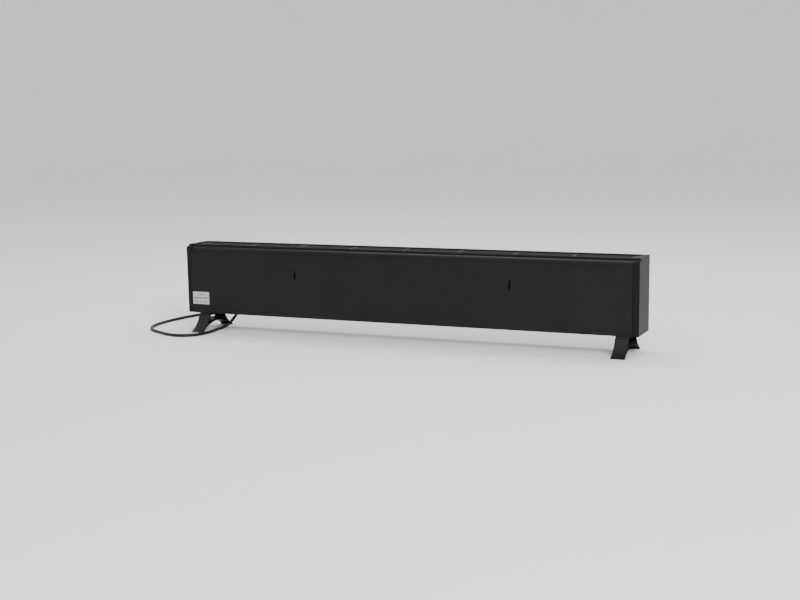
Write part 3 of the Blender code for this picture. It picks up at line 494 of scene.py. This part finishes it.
def makeLens():
    s = Shader("lampLens", (0.55, 0.05, 0.02), 0.12)
    s.set("Transmission Weight", 0.35)
    s.set("IOR", 1.49)
    s.rough(s.ramp(s.noise(300, 3), [(0.3, 0.08), (0.7, 0.2)]))
    s.bump(s.noise(700, 2), 0.2, 0.0001)
    return s.material


# printed film, slightly uneven
def makeLabel():
    s = Shader("labelFilm", (0.43, 0.44, 0.435), 0.4)
    s.colour(s.ramp(s.noise(60, 4), [(0.3, (0.42, 0.43, 0.425)), (0.7, (0.47, 0.48, 0.475))]))
    s.rough(s.ramp(s.noise(90, 4), [(0.3, 0.34), (0.7, 0.5)]))
    s.bump(s.noise(500, 2), 0.1, 0.0001)
    return s.material


finishes = {
    "black_powder_coat": makePowderCoat(),
    "black_casing_plastic": makePlastic("casingPlastic", **casingPlastic),
    "black_control_plastic": makePlastic(
        "controlPlastic", (0.008, 0.008, 0.0085), (0.013, 0.013, 0.0135), (0.3, 0.42), gloss=0.36
    ),
    "screw_steel": makeMetal("screwSteel", (0.42, 0.43, 0.44), (0.62, 0.62, 0.62), (0.22, 0.4)),
    "plated_steel": makePlated(),
    "aluminium": makeMetal(
        "extrudedAluminium", (0.52, 0.52, 0.53), (0.72, 0.72, 0.73), (0.24, 0.42), (0.1, 1, 1)
    ),
    "ceramic": makePlastic("ceramic", (0.58, 0.55, 0.48), (0.72, 0.69, 0.62), (0.5, 0.7), 900, 0.0002),
    "lamp_lens": makeLens(),
    "pale_plastic": makePlastic("palePlastic", (0.46, 0.44, 0.39), (0.56, 0.54, 0.49), (0.38, 0.52)),
    "cord_jacket": makePlastic(
        "cordJacket", (0.005, 0.005, 0.0053), (0.009, 0.009, 0.0095), (0.38, 0.52), 1500, 0.0002, 0.25
    ),
    "brass": makeMetal("brass", (0.58, 0.42, 0.18), (0.74, 0.57, 0.29), (0.18, 0.34), (0.3, 1, 1)),
    "blue_insulation": makePlastic("blueInsulation", (0.02, 0.06, 0.24), (0.04, 0.10, 0.34), (0.3, 0.45)),
    "red_insulation": makePlastic("redInsulation", (0.26, 0.015, 0.01), (0.38, 0.025, 0.018), (0.3, 0.45)),
    "label_film": makeLabel(),
    "footPlastic": makeFootPlastic(),
    "greyPrint": makePlastic("greyPrint", (0.10, 0.10, 0.10), (0.15, 0.15, 0.15), (0.4, 0.5)),
    "print": makePlastic("print", (0.48, 0.48, 0.47), (0.6, 0.6, 0.59), (0.4, 0.55)),
}


def paint(piece, name):
    piece.data.materials.clear()
    piece.data.materials.append(finishes[name])


for part in frame["record"]["subparts"]:
    paint(nodes[part["node"]], part["material_slot"])
    nodes[part["node"]].data.shade_smooth()
    nodes[part["node"]].data.set_sharp_from_angle(angle=math.radians(28))
paint(mainsLead, "cord_jacket")
paint(ribbedKnob, "black_control_plastic")
paint(labelBlocks, "greyPrint")
paint(nodes["foot_left"], "footPlastic")
paint(nodes["foot_right"], "footPlastic")
for mark in controlMarks:
    paint(mark, "print")
print("materials on")


# rounded edges: body sheets, mouldings and small parts

edges = {
    0.0008: ["end_cap_left", "foot_left", "foot_right", "control_bezel", "terminal_block", "thermostat_body"],
    0.0004: ["rear_cover", "front_panel", "top_grille", "rocker_1", "rocker_2", "switch_housing_1",
             "switch_housing_2", "tip_switch_yoke", "element_bracket_left", "element_bracket_right",
             "cord_tie"],
    0.0002: ["plug_blade_1", "plug_blade_2", "tip_switch_lever"],
}


def softenEdges(piece, width):
    bevel = piece.modifiers.new("edge", "BEVEL")
    bevel.width = width
    bevel.segments = 2
    bevel.limit_method = "ANGLE"
    bevel.angle_limit = math.radians(40)
    bevel.harden_normals = True


for width, names in edges.items():
    for name in names:
        softenEdges(nodes[name], width)
print("edges rounded")

# studio: a pale bowl round the heater, and two soft boxes

studio = {"floor": (0.88, 0.88, 0.88), "world": (1.0, 1.0, 1.0), "worldStrength": 1.0}
softBoxes = {
    "key": {"at": (-2.0, 2.3, 2.0), "to": (-0.1, 0.4, 0.0), "size": (1.4, 1.2), "watts": 90},
    "top": {"at": (0.2, -1.2, 2.6), "to": (0, 0, 0.2), "size": (2.8, 1.2), "watts": 45},
}


# a bowl: flat out to r = 8, a quarter circle of radius 3, then straight up, turned about Z
def addStudio():
    flat, bend, top = 8.0, 3.0, 4.5
    a = np.linspace(0, np.pi / 2, 17)
    r = np.concatenate([[0.01], flat + bend * np.sin(a), [flat + bend]])
    z = np.concatenate([[0.0], bend - bend * np.cos(a), [top]])
    turn = np.linspace(0, 2 * np.pi, 96, endpoint=False)
    x, y = r[:, None] * np.cos(turn), r[:, None] * np.sin(turn)
    points = np.stack([x, y, np.broadcast_to(z[:, None], x.shape)], axis=-1)
    middle = [tuple(range(96))]
    mesh = bpy.data.meshes.new("sweep")
    mesh.from_pydata(points.reshape(-1, 3).tolist(), [], ringFaces(len(r), 96)[:, ::-1].tolist() + middle)
    mesh.polygons.foreach_set("use_smooth", np.ones(len(mesh.polygons), bool))
    floor = bpy.data.objects.new("sweep", mesh)
    bpy.context.scene.collection.objects.link(floor)
    s = Shader("paper", studio["floor"], 0.9)
    shade = tuple(0.985 * c for c in studio["floor"])
    s.colour(s.ramp(s.noise(2, 2), [(0.3, shade), (0.7, studio["floor"])]))
    floor.data.materials.append(s.material)
    world = bpy.data.worlds.new("studio")
    world.use_nodes = True
    sky = world.node_tree.nodes["Background"]
    sky.inputs["Color"].default_value = (*studio["world"], 1)
    sky.inputs["Strength"].default_value = studio["worldStrength"]
    bpy.context.scene.world = world
    for name, box in softBoxes.items():
        light = bpy.data.lights.new(name, "AREA")
        light.shape = "RECTANGLE"
        light.size, light.size_y = box["size"]
        light.energy = box["watts"]
        lamp = bpy.data.objects.new(name, light)
        bpy.context.scene.collection.objects.link(lamp)
        lamp.location = box["at"]
        aim = Vector(box["to"]) - Vector(box["at"])
        lamp.rotation_euler = aim.to_track_quat("-Z", "Y").to_euler()


addStudio()
print("studio lit")
